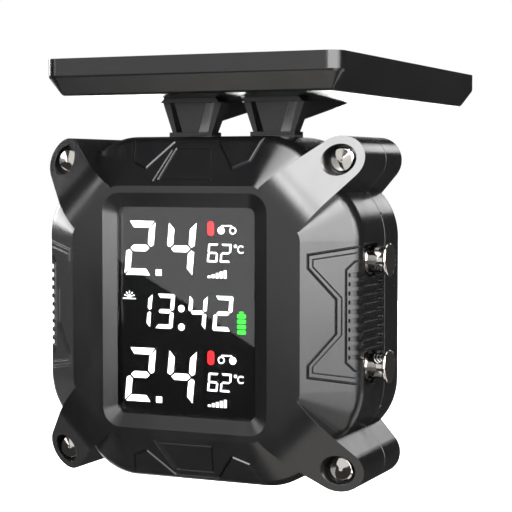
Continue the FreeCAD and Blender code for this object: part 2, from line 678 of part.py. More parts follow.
def front_grooves():
    """Moulded lines: a bracket on each side slope, a badge and wings above and below."""
    bracket = [(10.9, 29.5), (9.3, 20.5), (7.3, 20.5), (2.6, 24.0), (-2.6, 24.0), (-7.3, 20.5),
               (-9.1, 20.5), (-10.8, 29.5)]
    bracket_inner = [(10.0, 29.5), (8.6, 21.1), (7.5, 21.1), (2.8, 24.7), (-2.8, 24.7), (-7.5, 21.1),
                     (-8.4, 21.1), (-9.9, 29.5)]
    grip = [(9.1, 29.5), (8.2, 26.3), (7.0, 25.24), (-7.0, 25.24), (-8.2, 26.3), (-9.1, 29.5)]
    wings = [(-11.9, 29.0), (-10.1, 23.3), (-7.4, 22.2), (-3.8, 26.3), (3.8, 26.3), (7.4, 22.2),
             (10.1, 23.3), (11.9, 29.0)]
    badge = [(4.5, 20.6), (3.1, 25.3), (-3.1, 25.3), (-4.5, 20.6), (4.5, 20.6)]
    badge_side = [(-5.4, 20.2), (-3.75, 25.1)]
    beside = []
    for name, sign in SIDES:
        beside.append(groove("bracket_" + name, sign, 1, "x", bracket, 0.22, 0.30))
        beside.append(groove("bracket_inner_" + name, sign, 1, "x", bracket_inner, 0.12, 0.16))
        beside.append(groove("grip_outline_" + name, sign, 1, "x", grip, 0.20, 0.28))
    across = []
    for name, sign in LEVELS:
        across.append(groove("wings_" + name, 1, sign, "z", wings, 0.22, 0.30))
        across.append(groove("badge_" + name, 1, sign, "z", badge, 0.18, 0.25))
        across.append(groove("badge_side_" + name, 1, sign, "z", badge_side, 0.12, 0.16))
    return compound("side_grooves", beside), compound("level_grooves", across)


def slot_levels():
    """Heights of the grip slots, centred on the case."""
    return [index - (SLOT_COUNT - 1) / 2 for index in range(SLOT_COUNT)]


def grip_slots():
    """Shallow slots that follow the slope, the shoulder and the side wall."""
    grown = case_form("slot_outside", "slot_over")
    shrunk = case_form("slot_floor", "-slot_deep")
    bars = []
    for index, level in enumerate(slot_levels()):
        z = "%g * slot_pitch" % level
        straight = box("slot_bar%d" % index, "0", "slot_rear", z, "2 * body_half + 4",
                       "body_depth - slot_rear", "slot_wide")
        end = cylinder("slot_end%d" % index, "right", "-body_half - 2", "slot_rear", z,
                       "slot_wide / 2", "2 * body_half + 4")
        bars.extend((straight, end))
    skin = cut("slot_skin", grown, shrunk)
    trimmed = common("slot_stock", fuse("slot_bars", *bars), slot_zone())
    return common("grip_slots", skin, trimmed)


def slot_marks():
    """A short notch in front of each grip slot."""
    half, out = size("slot_mark_half"), size("slot_mark")
    marks = []
    for name, sign in SIDES:
        for index, level in enumerate(slot_levels()):
            z = level * size("slot_pitch")
            points = [(z + half, out), (z - half, out)]
            marks.append(groove("mark_%s%d" % (name, index), sign, 1, "x", points, 0.16, 0.28))
    return compound("slot_marks", marks)


def slot_zone():
    """Where slots may be: behind a plane square to each front slope."""
    body = new_body("slot_zone")
    sketch = new_sketch(body, "XY_Plane", "-body_half / 2")
    fall = "(body_depth - shoulder_depth) / slope_inset"
    begin = "body_half - slope_inset + (body_depth - slot_front) / (%s)" % fall
    outside, behind = "body_half + 4", "1 - parting_depth"
    for sign in (1, -1):
        polygon(sketch, [
            ("%d * (%s - 2 * %s)" % (sign, begin, fall), "2 - slot_front"),
            ("%d * (%s + 2 * %s)" % (sign, begin, fall), "-2 - slot_front"),
            ("%d * (%s)" % (sign, outside), "-2 - slot_front"),
            ("%d * (%s)" % (sign, outside), behind),
            ("%d * (%s - 2 * %s)" % (sign, begin, fall), behind),
        ])
    pad(body, sketch, "body_half")
    return body


def window_opening(body):
    """Display bay from the rear, window hole and the bevel round it."""
    bay = new_sketch(body, "XZ_Plane", "parting_depth")
    rounded_rectangle(bay, "bay_wide", "bay_tall", "bay_corner")
    pocket(body, bay, "lip_depth - parting_depth")
    hole = new_sketch(body, "XZ_Plane", "parting_depth")
    rounded_rectangle(hole, "window_wide + 2 * window_gap", "window_tall + 2 * window_gap",
                      "window_corner + window_gap")
    pocket(body, hole, "body_depth")
    run = "bevel_under / (body_depth - window_depth)"
    steep = "(frame_wide - window_wide) * %s" % run
    flat = "(frame_tall - window_tall) * %s" % run
    inner = new_sketch(body, "XZ_Plane", "window_depth - bevel_under")
    rounded_rectangle(inner, "window_wide - " + steep, "window_tall - " + flat,
                      "window_corner - (frame_corner - window_corner) * " + run)
    outer = new_sketch(body, "XZ_Plane", "body_depth + bevel_under")
    rounded_rectangle(outer, "frame_wide + " + steep, "frame_tall + " + flat,
                      "frame_corner + (frame_corner - window_corner) * " + run)
    bevel = body.newObject("PartDesign::SubtractiveLoft", "window_bevel")
    bevel.Profile = inner
    bevel.Sections = [outer]
    bevel.Ruled = True
    doc.recompute()


def front_shell():
    body = case_form("front_case")
    arms = new_sketch(body, "XZ_Plane", "parting_depth")
    arm_outlines(arms)
    pad(body, arms, "body_depth - parting_depth")
    slant_arms(body)
    cavity = new_sketch(body, "XZ_Plane", "parting_depth")
    case_outline(cavity, "wall")
    pocket(body, cavity, "board_rear + board_thick - parting_depth")
    upper_room = new_sketch(body, "XZ_Plane", "parting_depth")
    rounded_rectangle(upper_room, "room_wide", "room_wide", "room_corner")
    pocket(body, upper_room, "room_depth - parting_depth")
    window_opening(body)
    bores = new_sketch(body, "XZ_Plane", "parting_depth")
    seats = new_sketch(body, "XZ_Plane", "nut_seat")
    for _, sx, sz in CORNERS:
        circle(bores, "%d * lug_x" % sx, "%d * lug_z" % sz, "nut_radius")
        circle(seats, "%d * lug_x" % sx, "%d * lug_z" % sz, "lug_bore")
    pocket(body, bores, "body_depth - parting_depth")
    pocket(body, seats, "body_depth - nut_seat")
    openings = [button_opening(name, "%d * button_z" % sign) for name, sign in LEVELS]
    tools = front_grooves() + (slot_marks(), grip_slots(), compound("button_openings", openings))
    keep(cut("front", body, *tools), "front_shell")


def button_opening(name, z):
    """The collar's hole and a round-ended recess that runs out forwards over the shoulder."""
    scoop = cylinder("scoop_" + name, "right", "scoop_floor", "button_depth", z, "scoop_radius", "4")
    hole = cylinder("button_hole_" + name, "right", "body_half - 2 * wall", "button_depth", z,
                    "collar_sleeve", "3 * wall")
    ramp = new_body("scoop_ramp_" + name)
    outline = new_sketch(ramp, "XY_Plane", "%s - scoop_radius" % z)
    polygon(outline, [("scoop_floor", "-button_depth"), ("scoop_floor", "-scoop_front"),
                      ("body_half + 0.3", "-scoop_end"), ("body_half + 4", "-scoop_end"),
                      ("body_half + 4", "-button_depth")])
    pad(ramp, outline, "2 * scoop_radius")
    return fuse("button_opening_" + name, scoop, hole, ramp)


def rear_cover():
    body = new_body("rear_case")
    outline = new_sketch(body, "XZ_Plane")
    case_outline(outline)
    pad(body, outline, "parting_depth")
    dress(body, "Fillet", edge_names(body.Shape, along_depth), Radius="corner_radius")
    dress(body, "Fillet", edge_names(body.Shape, at_depth(0)), Radius="rear_round")
    arms = new_sketch(body, "XZ_Plane")
    arm_outlines(arms)
    pad(body, arms, "parting_depth")
    parting = edge_names(body.Shape, at_depth(size("parting_depth")))
    dress(body, "Chamfer", parting, Size="parting_bevel")
    cavity = new_sketch(body, "XZ_Plane", "floor")
    case_outline(cavity, "wall")
    pocket(body, cavity, "parting_depth - floor")
    boss = new_sketch(body, "XZ_Plane", "floor - 0.5")
    circle(boss, "0", "0", "insert_radius + insert_wall")
    pad(body, boss, "insert_long + insert_wall - floor + 0.5")
    insert = new_sketch(body, "XZ_Plane")
    circle(insert, "0", "0", "insert_radius")
    pocket(body, insert, "insert_long")
    shanks = new_sketch(body, "XZ_Plane")
    heads = new_sketch(body, "XZ_Plane")
    for _, sx, sz in CORNERS:
        circle(shanks, "%d * lug_x" % sx, "%d * lug_z" % sz, "screw_radius + screw_gap")
        circle(heads, "%d * lug_x" % sx, "%d * lug_z" % sz, "screw_head + screw_gap")
    pocket(body, shanks, "parting_depth")
    pocket(body, heads, "screw_seat")
    seal_groove = new_sketch(body, "XZ_Plane", "parting_depth - seal_deep")
    case_outline(seal_groove, "seal_inset")
    case_outline(seal_groove, "seal_inner")
    pocket(body, seal_groove, "seal_deep")
    above = ("body_half - 3 * wall", "lead_bore", "5 * wall")
    lead_hole = cylinder("lead_hole", "up", "-leg_x", "lead_depth", *above)
    screw_holes = [leg_screw_hole("leg_hole", name, index, spot, "body_half - 3 * wall", "5 * wall")
                   for name, index, spot in leg_screw_spots()]
    keep(cut("rear", body, lead_hole, *screw_holes), "rear_cover")


def case_seal():
    body = new_body("case_seal_body")
    ring = new_sketch(body, "XZ_Plane", "parting_depth - seal_deep")
    case_outline(ring, "seal_inset")
    case_outline(ring, "seal_inner")
    pad(body, ring, "seal_deep")
    keep(body, "case_seal")


# ---------------------------------------------------------------- display
def display_stack():
    wide, tall = "bay_wide - 2 * flange_gap_wide", "bay_tall - 2 * flange_gap_tall"
    window = new_body("window_body")
    flange = new_sketch(window, "XZ_Plane", "lip_depth - window_seal - flange_thick")
    rounded_rectangle(flange, wide, tall, "flange_corner")
    pad(window, flange, "flange_thick")
    face = new_sketch(window, "XZ_Plane", "lip_depth - window_seal")
    rounded_rectangle(face, "window_wide", "window_tall", "window_corner")
    pad(window, face, "window_depth - lip_depth + window_seal")
    keep(window, "display_window")

    seal = new_body("window_seal_body")
    ring = new_sketch(seal, "XZ_Plane", "lip_depth - window_seal")
    rounded_rectangle(ring, wide, tall, "flange_corner")
    rounded_rectangle(ring, "window_wide + 2 * window_seal_lap", "window_tall + 2 * window_seal_lap",
                      "window_corner")
    pad(seal, ring, "window_seal")
    keep(seal, "window_seal")

    front = "board_rear + board_thick"
    cell = "lip_depth - window_seal - flange_thick - lcd_gap - lcd_thick"
    keep(box("lcd", "0", cell, "0", "bay_wide - 2 * lcd_margin_wide", "lcd_thick",
             "bay_tall - 2 * lcd_margin_tall"), "lcd_panel")
    keep(box("light", "0", "light_depth", "0", "light_wide", "light_thick", "light_tall"), "backlight")
    wide, tall = "bay_wide - 2 * holder_gap", "bay_tall - 2 * holder_gap"
    outer = box("holder_outer", "0", front, "0", wide, "holder_long", tall)
    inner = box("holder_inner", "0", front, "0", wide + " - 2 * holder_side", "holder_long",
                tall + " - 2 * holder_end")
    keep(cut("holder", outer, inner), "lcd_holder")
    for name, sign in LEVELS:
        keep(box("zebra_" + name, "0", front, "%d * zebra_z" % sign, "zebra_wide",
                 "%s - (%s)" % (cell, front), "zebra_tall"), "zebra_strip_" + name)


# ---------------------------------------------------------------- electronics
def electronics():
    board = new_body("board_body")
    outline = new_sketch(board, "XZ_Plane", "board_rear")
    case_outline(outline, "body_half - board_half")
    pad(board, outline, "board_thick")
    keep(board, "main_board")
    keep(box("controller", "chip_x", "board_rear - chip_thick", "chip_z", "chip_side", "chip_thick",
             "chip_side"), "controller_chip")
    radio_board = box("radio_board", "chip_x", "board_rear - radio_thick", "radio_z", "radio_wide",
                      "radio_thick", "radio_tall")
    radio_can = box("radio_can", "chip_x", "board_rear - radio_thick - can_thick",
                    "radio_z - 1", "can_wide", "can_thick", "can_tall")
    keep(fuse("radio", radio_board, radio_can), "receiver_module")
    keep(bent_wire("antenna", ANTENNA_ROUTE, ANTENNA_BEND, ANTENNA_RADIUS), "antenna_wire")
    drum = cylinder("buzzer_drum", "front", "buzzer_x", "board_rear - buzzer_thick", "buzzer_z",
                    "buzzer_radius", "buzzer_thick")
    sound = cylinder("buzzer_hole", "front", "buzzer_x", "board_rear - buzzer_thick - sound_deep",
                     "buzzer_z", "sound_radius", "2 * sound_deep")
    keep(cut("buzzer", drum, sound), "buzzer")
    keep(box("battery", "battery_x", "battery_depth", "battery_z", "battery_wide", "battery_thick",
             "battery_tall"), "battery_cell")
    behind = "battery_depth + battery_thick"
    keep(box("battery_foam", "battery_x", behind, "battery_z", "battery_wide - 2 * battery_pad_margin",
             "board_rear - (%s)" % behind, "battery_tall - 2 * battery_pad_margin"), "battery_pad")
    header_rear = "board_rear - header_long"
    keep(box("header_cup", "-leg_x", header_rear, "header_z", "header_wide", "header_long",
             "header_tall"), "lead_header")
    keep(box("plug", "-leg_x", header_rear + " - plug_long", "header_z", "plug_wide", "plug_long",
             "plug_tall"), "lead_plug")
    lead_x, lead_y, lead_z = -size("leg_x"), -size("lead_depth"), size("header_z")
    plug_rear = -size(header_rear + " - plug_long")
    top = size("panel_under + tray_wall")
    keep(bent_wire("lead", [(lead_x, plug_rear, lead_z), (lead_x, lead_y, lead_z),
                            (lead_x, lead_y, top)], LEAD_BEND, size("lead_radius")), "panel_lead")


# ---------------------------------------------------------------- buttons
def button_set(name, sign):
    """Button, collar, O-ring, clip, plunger and side switch of one button."""
    z = "%d * button_z" % sign
    place = ("right", "0", "button_depth", z)
    button = turned("button_%s_body" % name, *place, [
        ("0", "shaft_end"), ("button_shaft", "shaft_end"), ("button_shaft", "clip_x"),
        ("clip_waist", "clip_x"), ("clip_waist", "clip_x + clip_groove"),
        ("button_shaft", "clip_x + clip_groove"), ("button_shaft", "stem_end"),
        ("button_stem", "stem_end"), ("button_stem", "barrel_end"), ("button_barrel", "barrel_end"),
        ("button_barrel", "button_face - cap_thick"), ("button_cap", "button_face - cap_thick"),
        ("button_cap", "button_face"), ("0", "button_face")])
    across = 2 * size("button_cap")
    rim = edge_names(button.Shape, lambda edge: abs(edge.BoundBox.ZLength - across) < SMALL
                     and edge.BoundBox.XLength < SMALL)
    dress(button, "Fillet", rim, Radius="cap_round")
    keep(button, "button_" + name)
    keep(turned("collar_%s_body" % name, *place, [
        ("button_shaft + running_gap", "collar_inner_end"), ("collar_sleeve", "collar_inner_end"),
        ("collar_sleeve", "collar_face"), ("button_stem + running_gap", "collar_face"),
        ("button_stem + running_gap", "bore_floor"), ("button_shaft + running_gap", "bore_floor"),
        ("button_shaft + running_gap", "o_ring_x + o_ring_cord"), ("o_ring_room", "o_ring_x + o_ring_cord"),
        ("o_ring_room", "o_ring_x - o_ring_cord"), ("button_shaft + running_gap", "o_ring_x - o_ring_cord")]),
        "button_collar_" + name)
    ring = doc.addObject("Part::Torus", "o_ring_" + name)
    bind(ring, "Radius1", "button_shaft + running_gap + o_ring_cord")
    bind(ring, "Radius2", "o_ring_cord - 0.01")
    ring.Placement = FreeCAD.Placement(
        FreeCAD.Vector(), FreeCAD.Rotation(FreeCAD.Vector(0, 1, 0), 90))
    bind(ring, "Placement.Base.x", "o_ring_x")
    bind(ring, "Placement.Base.y", "-button_depth")
    bind(ring, "Placement.Base.z", z)
    keep(ring, "button_o_ring_" + name)
    keep(turned("clip_%s_body" % name, *place, [
        ("clip_waist + 0.02", "clip_x + 0.02"), ("o_ring_room - 0.1", "clip_x + 0.02"),
        ("o_ring_room - 0.1", "clip_x + clip_groove - 0.03"),
        ("clip_waist + 0.02", "clip_x + clip_groove - 0.03")]), "button_clip_" + name)
    keep(cylinder("plunger_" + name, "right", "plunger_inner", "button_depth", z, "plunger_radius",
                  "plunger_long"), "switch_plunger_" + name)
    housing = box("switch_box_" + name, "switch_x", "switch_rear", z, "switch_wide",
                  "board_rear - switch_rear", "switch_tall")
    bore = cylinder("switch_bore_" + name, "right", "switch_x", "button_depth", z,
                    "plunger_radius + running_gap", "switch_wide")
    keep(cut("switch_" + name, housing, bore), "side_switch_" + name)


# ---------------------------------------------------------------- lug fasteners
def lug_fasteners():
    for name, sx, sz in CORNERS:
        place = ("front", "%d * lug_x" % sx, "0", "%d * lug_z" % sz)
        keep(turned("nut_%s_body" % name, *place, [
            ("thread_radius", "nut_rear"), ("nut_radius", "nut_rear"),
            ("nut_radius", "nut_front - nut_bevel"), ("nut_radius - nut_bevel", "nut_front"),
            ("0", "nut_front + nut_crown"), ("0", "screw_end + 1"), ("thread_radius", "screw_end + 1")]),
            "barrel_nut_" + name)
        keep(turned("screw_%s_body" % name, *place, [
            ("0", "head_rear + recess_deep"), ("recess_radius", "head_rear + recess_deep"),
            ("recess_radius", "head_rear"), ("screw_head - head_bevel", "head_rear"),
            ("screw_head", "head_rear + head_bevel"), ("screw_head", "screw_seat"),
            ("screw_radius", "screw_seat"), ("screw_radius", "screw_end"), ("0", "screw_end")]),
            "lug_screw_" + name)


def mount_insert():
    keep(turned("insert_body", "front", "0", "0", "0", [
        ("insert_hole", "0"), ("insert_radius", "0"), ("insert_radius", "insert_long"),
        ("insert_hole", "insert_long")]), "mount_insert")


# ---------------------------------------------------------------- solar panel
def panel():
    middle = "0 - (panel_front - panel_long / 2)"
    tray = new_body("tray_body")
    outline = new_sketch(tray, "XY_Plane", "panel_under")
    shifted_rectangle(outline, "panel_wide", "panel_long", "panel_corner", middle)
    pad(tray, outline, "panel_top - panel_under")
    low = size("panel_under")
    bottom = edge_names(tray.Shape, lambda edge: abs(edge.BoundBox.ZMax - low) < SMALL)
    bevel = dress(tray, "Chamfer", bottom)
    bevel.ChamferType = "Two distances"
    bind(bevel, "Size", "panel_bevel_tall")
    bind(bevel, "Size2", "panel_bevel_wide")
    doc.recompute()
    levels = (low, size("panel_under + panel_bevel_tall"))
    rims = edge_names(tray.Shape, lambda edge: edge.BoundBox.ZLength < SMALL and
                      any(abs(edge.BoundBox.ZMax - level) < SMALL for level in levels))
    dress(tray, "Fillet", rims, Radius="panel_bevel_round")
    room = new_sketch(tray, "XY_Plane", "panel_under + tray_wall")
    shifted_rectangle(room, "panel_wide - 2 * tray_wall", "panel_long - 2 * tray_wall", "tray_corner", middle)
    pocket(tray, room, "panel_top")
    lead_hole = cylinder("tray_lead_hole", "up", "-leg_x", "lead_depth", "panel_under - tray_wall",
                         "lead_bore", "3 * tray_wall")
    keep(cut("tray", tray, lead_hole), "panel_tray")

    wide = "panel_wide - 2 * (tray_wall + tray_fit)"
    long = "panel_long - 2 * (tray_wall + tray_fit)"
    core_z = "panel_under + tray_wall"
    board_z = core_z + " + core_thick"
    cell_z = board_z + " + cell_board_thick"
    cover_z = cell_z + " + cell_thick + cover_gap"
    keep(tray_layer("core", wide, long, core_z, "core_thick", middle), "panel_core")
    keep(tray_layer("cells_board", wide, long, board_z, "cell_board_thick", middle), "cell_board")
    rear = "panel_front - panel_long / 2 - (%s) / 2" % long
    pitch = "(%s) / %d" % (long, CELL_COUNT)
    for index in range(CELL_COUNT):
        near = "%s + %d * %s + cell_gap / 2" % (rear, index, pitch)
        keep(box("cell%d" % index, "0", near, "%s + cell_thick / 2" % cell_z, "%s - 3 * cell_gap" % wide,
                 "%s - cell_gap" % pitch, "cell_thick"), "solar_cell_%d" % (CELL_COUNT - index))
    keep(tray_layer("cover", wide, long, cover_z, "panel_top - cover_sunk - (%s)" % cover_z, middle),
         "panel_cover")


def tray_layer(name, wide, tall, low, thick, middle):
    """A sheet that fills the tray from wall to wall."""
    layer = new_body(name + "_body")
    outline = new_sketch(layer, "XY_Plane", low)
    shifted_rectangle(outline, wide, tall, "tray_corner", middle)
    pad(layer, outline, thick)
    return layer


def shifted_rectangle(sketch, wide, tall, radius, middle):
    """A rounded rectangle whose middle lies off the sketch's origin along its second axis."""
    rounded_rectangle(sketch, wide, tall, radius)
    bind(sketch, "AttachmentOffset.Base.y", middle)


# ---------------------------------------------------------------- legs
def leg_screw_spots():
    """Name, number and X of each leg screw: two beside the middle of each leg."""
    spots = []
    for name, sign in SIDES:
        for index, side in enumerate((-1, 1)):
            spots.append((name, index, "%d * leg_x + %d * leg_screw_pitch / 2" % (sign, side)))
    return spots


def leg_screw_hole(part, name, index, spot, low, tall):
    return cylinder("%s_%s%d" % (part, name, index), "up", spot, "lead_depth", low,
                    "leg_screw_radius + running_gap", tall)


def leg_section(middle, level, half, flat, bevel, rear):
    """One level of a leg: a flat raised front between two bevels and a plain rear."""
    front = -size("leg_front")
    rim = -size("leg_front - leg_raised")
    points = [(-half, rear), (-half, rim), (-bevel, rim), (-flat, front), (flat, front),
              (bevel, rim), (half, rim), (half, rear)]
    corners = [FreeCAD.Vector(middle + x, y, level) for x, y in points]
    return Part.makePolygon(corners + corners[:1])


def leg_column(name, middle):
    """The leg's tapered column, lofted from its foot to its head."""
    low = [size("leg_low_" + word) for word in ("half", "flat", "bevel", "rear")]
    high = [size("leg_high_" + word) for word in ("half", "flat", "bevel", "rear")]
    column = doc.addObject("Part::Feature", "leg_column_" + name)
    column.Shape = Part.makeLoft([leg_section(size(middle), size("leg_foot_top"), *low),
                                  leg_section(size(middle), size("leg_head"), *high)], True, True)
    return column


def leg_head(name, middle):
    """The flared head under the panel."""
    head = new_body("leg_head_" + name)
    outline = new_sketch(head, "XZ_Plane", "head_depth")
    corners = []
    for level, half in (("leg_head", "head_low_half"), ("panel_under", "head_high_half")):
        row = [("%s - %s" % (middle, half), level), ("%s + %s" % (middle, half), level)]
        corners.extend(row if not corners else row[::-1])
    polygon(outline, corners)
    pad(head, outline, "head_thick")
    return head


def leg_gusset(name, middle):
    """The web that carries the panel's rear part."""
    gusset = new_body("leg_gusset_" + name)
    web = new_sketch(gusset, "YZ_Plane", "%s - gusset_thick / 2" % middle)
    polygon(web, [("-gusset_front", "gusset_low"), ("-gusset_front + 1.2", "gusset_low"),
                  ("gusset_reach", "panel_under - gusset_tip"), ("gusset_reach", "panel_under"),
                  ("-gusset_front", "panel_under")])
    pad(gusset, web, "gusset_thick")
    return gusset


def legs():
    screw_solids = []
    foot_low = "body_half + gasket"
    for name, sign in SIDES:
        middle = "%d * leg_x" % sign
        foot = box("leg_foot_" + name, middle, "foot_depth", "(%s + leg_foot_top) / 2" % foot_low,
                   "foot_wide", "foot_thick", "leg_foot_top - (%s)" % foot_low)
        whole = fuse("leg_" + name, leg_column(name, middle), foot, leg_head(name, middle),
                     leg_gusset(name, middle))
        sheet_of_rubber = box("gasket_" + name, middle, "foot_depth", "body_half + gasket / 2",
                              "foot_wide", "foot_thick", "gasket")
        spots = [(index, spot) for side, index, spot in leg_screw_spots() if side == name]
        bores = [leg_screw_hole("leg_bore", name, index, spot, "body_half", "leg_screw_reach + 0.3")
                 for index, spot in spots]
        holes = [leg_screw_hole("gasket_bore", name, index, spot, "body_half - gasket", "3 * gasket")
                 for index, spot in spots]
        if sign < 0:
            bores.append(cylinder("leg_lead_bore", "up", middle, "lead_depth", "body_half", "lead_bore",
                                  "panel_under - body_half + tray_wall"))
            holes.append(cylinder("gasket_lead_bore", "up", middle, "lead_depth", "body_half - gasket",
                                  "lead_bore", "3 * gasket"))
        keep(cut("leg_%s" % name, whole, *bores), "leg_" + name)
        keep(cut("gasket_%s" % name, sheet_of_rubber, *holes), "leg_gasket_" + name)
    inside = "body_half - wall"
    for name, index, spot in leg_screw_spots():
        head = cylinder("leg_screw_head_%s%d" % (name, index), "up", spot, "lead_depth",
                        inside + " - leg_screw_head", "1.5 * leg_screw_radius", "leg_screw_head")
        shank = cylinder("leg_screw_shank_%s%d" % (name, index), "up", spot, "lead_depth",
                         inside + " - leg_screw_head / 2", "leg_screw_radius",
                         "leg_screw_head / 2 + wall + leg_screw_reach")
        screw_solids.append(fuse("leg_screw_%s%d" % (name, index), head, shank))
    keep(compound("leg_screw_group", screw_solids), "leg_screws")


# ---------------------------------------------------------------- build, check and write
def check_document():
    doc.recompute()
    for obj in doc.Objects:
        bad = [state for state in obj.State if state in ("Invalid", "Error")]
        if bad:
            raise RuntimeError("%s is %s" % (obj.Label, ", ".join(bad)))
    for obj in nodes:
        if obj.Shape.isNull() or not obj.Shape.isValid() or not obj.Shape.Solids:
            raise RuntimeError("%s has no valid solid" % obj.Label)


def write_parts():
    os.makedirs("parts", exist_ok=True)
    for obj in nodes:
        obj.Shape.exportStep("parts/%s.step" % obj.Label)


front_shell()
rear_cover()
case_seal()
display_stack()
electronics()
for level_name, level_sign in LEVELS:
    button_set(level_name, level_sign)
lug_fasteners()
mount_insert()
panel()
legs()
check_document()
write_parts()
print("%d nodes written" % len(nodes))
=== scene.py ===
import json
import math

import bmesh
import bpy
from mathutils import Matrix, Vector


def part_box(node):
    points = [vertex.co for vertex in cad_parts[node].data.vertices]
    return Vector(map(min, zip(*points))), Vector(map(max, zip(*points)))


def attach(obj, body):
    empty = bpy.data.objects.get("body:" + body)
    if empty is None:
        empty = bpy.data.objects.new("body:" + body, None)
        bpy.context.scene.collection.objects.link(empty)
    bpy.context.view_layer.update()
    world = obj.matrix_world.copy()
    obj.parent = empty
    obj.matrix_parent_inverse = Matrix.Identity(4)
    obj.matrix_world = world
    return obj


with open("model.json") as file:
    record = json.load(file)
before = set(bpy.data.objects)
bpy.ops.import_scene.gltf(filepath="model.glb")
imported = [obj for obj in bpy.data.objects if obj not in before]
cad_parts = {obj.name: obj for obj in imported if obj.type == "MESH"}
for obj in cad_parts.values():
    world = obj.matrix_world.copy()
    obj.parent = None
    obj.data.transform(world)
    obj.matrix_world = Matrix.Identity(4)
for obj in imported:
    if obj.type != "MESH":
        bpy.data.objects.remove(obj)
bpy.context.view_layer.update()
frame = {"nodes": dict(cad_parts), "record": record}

# Tire pressure monitor. Metres, in the CAD model's frame: +X to the viewer's right, -Y out of the
# display, +Z up, origin in the middle of the flat rear face.
MM = 0.001
scene = bpy.context.scene

CAMERA_PLACE = Vector((0.10796, -0.23832, 0.02195))
CAMERA_AZIMUTH = 24.0
CAMERA_DOWN = 3.149
CAMERA_LENS = 110.0

INK_MARGIN = 0.02 * MM        # how far the window's black-inked sides stay behind its faces
SHEEN_CORNER = Vector((-0.1892, -0.4, -0.0342))
SHEEN_TILT = 28.7             # slope of the sheen's edge on the window, in degrees
SHEEN_SHIFT = 0.02
SHEEN_WIDE, SHEEN_TALL = 0.3, 0.2
FLOOR_SIZE = 12.0
FLOOR_LEVEL = -0.075
WORLD_SEEN = 1.0              # white behind the object
WORLD_REFLECTED = 0.055       # the dim room that surfaces reflect


# ---------------------------------------------------------------- material helpers
class Nodes:
    """A node tree with short calls for the few node kinds that the materials use."""

    def __init__(self, name):
        self.material = bpy.data.materials.new(name)
        self.material.use_nodes = True
        self.tree = self.material.node_tree
        self.shader = self.tree.nodes["Principled BSDF"]
        self.place = self.add("ShaderNodeTexCoord").outputs["Object"]

    def add(self, kind, **settings):
        node = self.tree.nodes.new(kind)
        for name, value in settings.items():
            setattr(node, name, value)
        return node

    def link(self, output, socket):
        self.tree.links.new(output, socket)

    def feed(self, name, output):
        self.link(output, self.shader.inputs[name])

    def set(self, **values):
        for name, value in values.items():
            self.shader.inputs[name.replace("_", " ")].default_value = value

    def noise(self, size, detail=3.0, rough=0.5, stretch=(1, 1, 1)):
        """Noise whose features are about size metres across, from 0 to 1."""
        scaled = self.add("ShaderNodeMapping")
        scaled.inputs["Scale"].default_value = [part / size for part in stretch]
        self.link(self.place, scaled.inputs["Vector"])
        texture = self.add("ShaderNodeTexNoise")
        texture.inputs["Scale"].default_value = 1.0
        texture.inputs["Detail"].default_value = detail
        texture.inputs["Roughness"].default_value = rough
        self.link(scaled.outputs[0], texture.inputs["Vector"])
        return texture.outputs["Fac"]

    def range(self, value, low, high, from_low=0.3, from_high=0.7):
        """The value moved from one range to another."""
        node = self.add("ShaderNodeMapRange")
        self.link(value, node.inputs["Value"])
        node.inputs["From Min"].default_value = from_low
        node.inputs["From Max"].default_value = from_high
        node.inputs["To Min"].default_value = low
        node.inputs["To Max"].default_value = high
        return node.outputs[0]

    def ramp(self, value, *stops):
        """Colours along a value; each stop is (position, colour)."""
        node = self.add("ShaderNodeValToRGB")
        elements = node.color_ramp.elements
        while len(elements) < len(stops):
            elements.new(0.5)
        for element, (position, colour) in zip(elements, stops):
            element.position = position
            element.color = (*colour, 1)
        self.link(value, node.inputs["Fac"])
        return node.outputs["Color"]

    def math(self, operation, *values):
        node = self.add("ShaderNodeMath", operation=operation)
        for socket, value in zip(node.inputs, values):
            if isinstance(value, (int, float)):
                socket.default_value = value
            else:
                self.link(value, socket)
        return node.outputs[0]

    def mix(self, factor, first, second):
        """A colour between two, each a colour or an output."""
        node = self.add("ShaderNodeMix", data_type="RGBA")
        self.link(factor, node.inputs[0])
        for socket, value in ((node.inputs[6], first), (node.inputs[7], second)):
            if isinstance(value, tuple):
                socket.default_value = (*value, 1)
            else:
                self.link(value, socket)
        return node.outputs[2]

    def bump(self, height, distance, strength=1.0, normal=None):
        node = self.add("ShaderNodeBump")
        node.inputs["Distance"].default_value = distance
        node.inputs["Strength"].default_value = strength
        self.link(height, node.inputs["Height"])
        if normal is not None:
            self.link(normal, node.inputs["Normal"])
        self.feed("Normal", node.outputs["Normal"])

    def rounded(self, radius):
        """Surface normals that round the edges off by a radius."""
        node = self.add("ShaderNodeBevel", samples=6)
        node.inputs["Radius"].default_value = radius
        return node.outputs["Normal"]

    def coordinate(self, axis):
        split = self.add("ShaderNodeSeparateXYZ")
        self.link(self.place, split.inputs[0])
        return split.outputs[axis]


def moulded_plastic(name, dark, light, roughness, grain, edge):
    """Black injection-moulded plastic: fine spark grain, slow gloss changes and softened edges."""
    made = Nodes(name)
    flow = made.noise(14 * MM, 4.0)
    made.feed("Base Color", made.ramp(flow, (0.35, dark), (0.65, light)))
    wipe = made.noise(5 * MM, 5.0, 0.6, (1, 1, 0.35))
    made.feed("Roughness", made.range(wipe, roughness - 0.035, roughness + 0.045))
    made.set(IOR=1.5)
    speckle = made.noise(grain, 2.0, 0.6)
    made.bump(speckle, 0.004 * MM, 0.35, made.rounded(edge))
    return made.material


